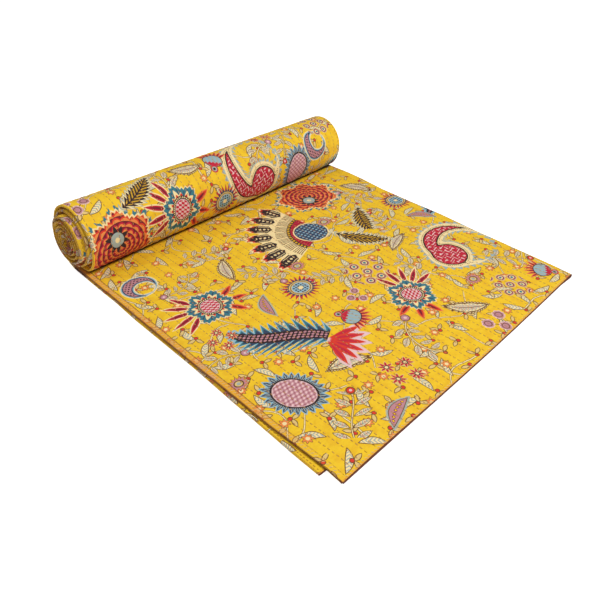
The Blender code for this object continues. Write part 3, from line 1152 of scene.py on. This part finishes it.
def branch(x, y):
    """A twig with slanting leaves and a berry at its tip."""
    bend = wave(y * 2.2) * 0.12
    off = abs(x - bend) + (abs(y) > 0.92)
    step = cell(y + 0.9, 0.44)
    yield from hatched_leaf(step * 0.5 + off * 0.86, step * 0.86 - off * 0.5 + 0.10, 0.60, 0.105, 48.0)
    yield "brown", off < 0.034
    yield "cream", off < 0.014
    bud = length(x - 0.10, y - 0.95)
    yield "brown", bud < 0.16
    yield "scarlet", bud < 0.12
    yield "pink", bud < 0.05


def stems(u, v):
    """Thin stems that wander over the ground and cross."""
    rising = abs(cell(u + wave(v * 33.0) * 0.020 + wave(v * 71.0 + 1.0) * 0.006, 0.098))
    level = abs(cell(v + wave(u * 29.0 + 2.0) * 0.022 + wave(u * 63.0) * 0.006, 0.112))
    rising = rising + (wave(u * 21.0 + v * 17.0) < -0.25)
    level = level + (wave(v * 23.0 - u * 19.0) < 0.0)
    away = maths("MINIMUM", rising, level)
    yield "brown", away < 0.0019
    yield "cream", away < 0.0011


def fillers(u, v):
    """Small leaves, buds and berries that fill the ground between the flowers."""
    x, y, kind = scattered(u, v, 0.052, 0.021, 3.0)
    shape = petal(x - y * y * 0.2, y, -1.0, 1.0, 0.28) - (kind > 0.75)
    veins = wave((y - abs(x)) * 22.0)
    yield "brown", shape > -0.04
    yield "cream", shape > 0.03
    yield "grey", (shape > 0.05) & (veins > 0.3)
    x, y, kind = scattered(u + 0.02, v + 0.01, 0.039, 0.016, 17.3)
    off = abs(x)
    shape = petal(y * 0.8 - off * 0.6, y * 0.6 + off * 0.8, 0.0, 1.0, 0.20) - (kind > 0.7)
    yield "brown", shape > -0.06
    yield "beige", shape > 0.02
    bud = length(x, y + 0.2) + (kind > 0.7)
    yield "brown", bud < 0.26
    yield "scarlet", bud < 0.18
    x, y, kind = scattered(u + 0.01, v + 0.03, 0.047, 0.011, 41.7)
    away = length(x, y) + (kind > 0.4)
    rays = star(bearing(x, y), 7, 0.4)
    yield "brown", away < rays + 0.52
    yield "orange", away < rays + 0.42
    yield "cream", away < 0.3


# u of the outer left and right folds, along which shade is painted, and v at the end of the roll's first
# turn, beyond which that painted shade is wider
FOLDS_AT = (CLOTH_WIDTH - RUN_STARTS[3:5].mean(), CLOTH_WIDTH - RUN_STARTS[5:7].mean())
FIRST_TURN_TO = 1.10
# Painted shade in the crease: v where it starts, where it is darkest and where it ends, on the flat stretch
# under the sagging turn and on that turn where it meets the flat stretch
CREASE_SHADE = ((0.663, 0.671, 0.71), (1.049, 1.062, 1.10))
# Widths of the lines of painted shade that edges_and_rows draws: at each stitch, along the folds, and at the
# rims, over their own red-brown
DIMPLE_SHADE = {"half width": 0.0008, "length": 1.12 * STITCH}
FOLD_SHADES = (0.0035, 0.009)
RIMS_AND_SHADES = {"hem": 0.0012, "front": 0.0022, "seam": 0.0008}

# The tile that repeats over the cloth, and where its motifs lie: across, along, radius, turn
TILE = (CLOTH_WIDTH / 2, 0.66)
LAYOUT = (
    (branch, (
        (0.1, 0.07, 0.05, 40), (0.33, 0.33, 0.042, -70), (0.56, 0.395, 0.045, 10),
        (0.64, 0.12, 0.048, 130), (0.205, 0.56, 0.045, 100), (0.86, 0.26, 0.045, 20),
        (1.215, 0.36, 0.045, 160), (1.01, 0.175, 0.045, -60), (1.08, 0.42, 0.042, 60),
    )),
    (spray, (
        (0.3, 0.11, 0.062, 20), (0.47, 0.23, 0.058, 200), (0.03, 0.3, 0.055, 90), (0.6, 0.5, 0.06, -40),
        (0.25, 0.43, 0.055, 150), (0.11, 0.5, 0.05, -110), (0.8, 0.38, 0.06, 60),
        (0.94, 0.26, 0.055, -130), (1.18, 0.26, 0.06, 10), (0.74, 0.14, 0.055, 170),
        (1.29, 0.16, 0.055, 80),
    )),
    (leaf, (
        (0.18, 0.15, 0.04, 110), (0.44, 0.09, 0.042, -50), (0.52, 0.32, 0.036, 70),
        (0.2, 0.49, 0.038, 20), (0.64, 0.54, 0.04, 150), (0.9, 0.39, 0.04, 50), (1.23, 0.16, 0.04, -40),
        (1.12, 0.24, 0.036, 100),
    )),
    (paisley, ((0.59, 0.245, 0.085, 50), (0.985, 0.305, 0.08, 130))),
    (carnation, ((0.37, 0.5, 0.098, -60),)),
    (plume, ((0.15, 0.265, 0.115, 60), (0.73, 0.4, 0.105, -30))),
    (peony, ((0.52, 0.59, 0.072, 30), (1.315, 0.335, 0.072, -20))),
    (thistle, ((0.4, 0.185, 0.046, 35), (0.11, 0.42, 0.046, -75), (1.17, 0.31, 0.046, 110))),
    (aster, ((0.265, 0.345, 0.04, 0), (0.66, 0.43, 0.04, 0), (1.06, 0.33, 0.038, 0))),
    (artichoke, ((0.07, 0.16, 0.045, 60), (0.84, 0.33, 0.046, 100))),
    (cone, ((0.48, 0.375, 0.052, -35), (0.535, 0.425, 0.05, 30), (1.24, 0.25, 0.046, 60))),
    (half_moon, ((0.05, 0.56, 0.035, 40), (0.775, 0.29, 0.035, 120))),
    (bell, ((0.27, 0.22, 0.034, -30), (0.65, 0.05, 0.034, 150), (1.05, 0.24, 0.034, 30))),
    (daisies, ((0.225, 0.075, 0.036, 15), (0.07, 0.335, 0.03, 50), (0.9, 0.21, 0.034, 0))),
    (rings, ((0.395, 0.29, 0.046, 10), (0.56, 0.07, 0.04, 40), (0.74, 0.24, 0.04, 0))),
    (pompoms, ((0.445, 0.03, 0.034, 0), (0.32, 0.255, 0.026, 100), (1.36, 0.23, 0.032, 200))),
    (sunflower, (
        (0.525, 0.13, 0.02, 0), (0.31, 0.4, 0.019, 0), (0.022, 0.235, 0.019, 0), (0.47, 0.48, 0.02, 0),
        (1.11, 0.37, 0.02, 0),
    )),
    (pod, (
        (0.15, 0.03, 0.032, 70), (0.18, 0.35, 0.03, 20), (0.65, 0.35, 0.03, 140),
        (0.88, 0.43, 0.032, -50), (1.25, 0.43, 0.032, 60),
    )),
)


def motif_group(draw, rows=None):
    """A node group that draws one kind of motif over the colour it is given."""
    group = bpy.data.node_groups.new(draw.__name__, "ShaderNodeTree")
    for name, kind in (("base", "Color"), ("u", "Float"), ("v", "Float")):
        group.interface.new_socket(name, in_out="INPUT", socket_type="NodeSocket" + kind)
    group.interface.new_socket("printed", in_out="OUTPUT", socket_type="NodeSocketColor")
    start = group.nodes.new("NodeGroupInput")
    end = group.nodes.new("NodeGroupOutput")
    Field.tree = group
    place = [Field(start.outputs[name]) for name in ("u", "v")]
    if rows is not None:
        place = nearest(*place, rows)
    feed(end.inputs["printed"], painted(start.outputs["base"], draw(*place)))
    return group


def edges_and_rows(u, v):
    """The hems' darker cloth, and painted shade: in the crease under the roll, at each stitch, along the
    folds, and at the rims, where it darkens the edges' own red-brown.
    """
    rows = (u - HEM_WIDTH) / ROW_PITCH
    row = maths("ROUND", rows)
    along = v / STITCH_PITCH + row * PHASE["step"] + wave(row * PHASE["wave"]) * PHASE["swing"]
    beside = abs(rows - row) < DIMPLE_SHADE["half width"] / ROW_PITCH
    stitch_shade = beside & (abs(cell(along, 1.0)) < DIMPLE_SHADE["length"] / STITCH_PITCH / 2)
    from_hem = maths("MINIMUM", u, CLOTH_WIDTH - u)
    from_end = maths("MINIMUM", v, CLOTH_LENGTH - v)
    fades = ramp(v, 0.03, 0.20) * 0.85 + 0.15
    from_fold = maths("MINIMUM", abs(u - FOLDS_AT[0]), abs(u - FOLDS_AT[1]))
    folded = (from_fold < FOLD_SHADES[0]) * 0.6 + (from_fold < FOLD_SHADES[1]) * (v > FIRST_TURN_TO) * 0.4
    flecks = wave(v * 1500.0 + wave(u * 2600.0 + v * 310.0) * 2.0) * 0.3 + 0.65
    # Painted shade in the crease, where the roll's sagging turn meets the flat stretch
    for start, dark, end in CREASE_SHADE:
        yield "black", ramp(v, start, dark) * (v < end) * 0.9
    # Painted shade: a darker dash at each stitch, where the thread pulls the cloth in
    yield "dimple shade", stitch_shade & (from_hem > HEM_WIDTH) & (from_end > FRONT_HEM) * 0.75
    yield "hem", (from_hem < HEM_WIDTH) * fades * 0.62
    yield "hem", (from_end < FRONT_HEM * 0.6) * 0.6
    # Painted shade in the groove of the hem's seam
    yield "rim", near(from_hem, HEM_WIDTH + RIMS_AND_SHADES["seam"] / 2, RIMS_AND_SHADES["seam"]) * fades * 0.75
    # Painted shade along the fold edges, deepest where they show at the roll's end, broken into flecks
    yield "rim", folded * flecks
    # Dark lines at the hem's outer edge and at the front end: the edges' own red-brown, darkened further as
    # painted shade
    yield "rim", (from_hem < RIMS_AND_SHADES["hem"]) * 0.7
    yield "front rim and shade", (from_end < RIMS_AND_SHADES["front"]) * 0.95


def noise_of(place, scale, detail):
    node = node_of("TexNoise", noise_dimensions="2D")
    give(node, {"Vector": place, "Scale": scale, "Detail": detail})
    return Field(node.outputs[0])


def bumps(heights, strength, distance):
    bump = node_of("Bump")
    give(bump, {"Height": heights, "Strength": strength, "Distance": distance})
    return bump.outputs[0]


def puckers(place):
    """The small wrinkles that lie across the rows of stitches."""
    stretched = node_of("Mapping")
    give(stretched, {"Vector": place, "Scale": (0.4, 1.0, 1.0)})
    return bumps(noise_of(stretched.outputs[0], 230.0, 1.0), 0.9, 0.0012)


def cotton_material():
    """Printed cotton voile: the print in flat-cloth coordinates, its hems, painted shade at its crease,
    folds, rims and stitches, and its small wrinkles.
    """
    over_all = [motif_group(draw) for draw in (stems, fillers)]
    repeated = [motif_group(draw, rows) for draw, rows in LAYOUT]
    hems_and_shade = [motif_group(edges_and_rows)]
    material, shader = new_material("printed cotton")
    place = node_of("UVMap", uv_map="flat cloth").outputs[0]
    base = paint(INK["yellow"], INK["deep yellow"], ramp(noise_of(place, 60.0, 3.0), 0.40, 0.66) * 0.7)
    cloth = split(place)
    tile = [maths("WRAP", value, size, 0.0) for value, size in zip(cloth, TILE)]
    for groups, (u, v) in ((over_all, cloth), (repeated, tile), (hems_and_shade, cloth)):
        for group in groups:
            node = node_of("Group", node_tree=group)
            give(node, {"base": base, "u": u, "v": v})
            base = node.outputs["printed"]
    give(shader, {"Base Color": base, "Roughness": 0.85, "Normal": puckers(place)})
    return material


def main():
    add_camera()
    add_studio()
    cloth = add_cloth(cotton_material())
    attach(cloth, "root")
    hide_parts("quilt")
    add_threads()


main()
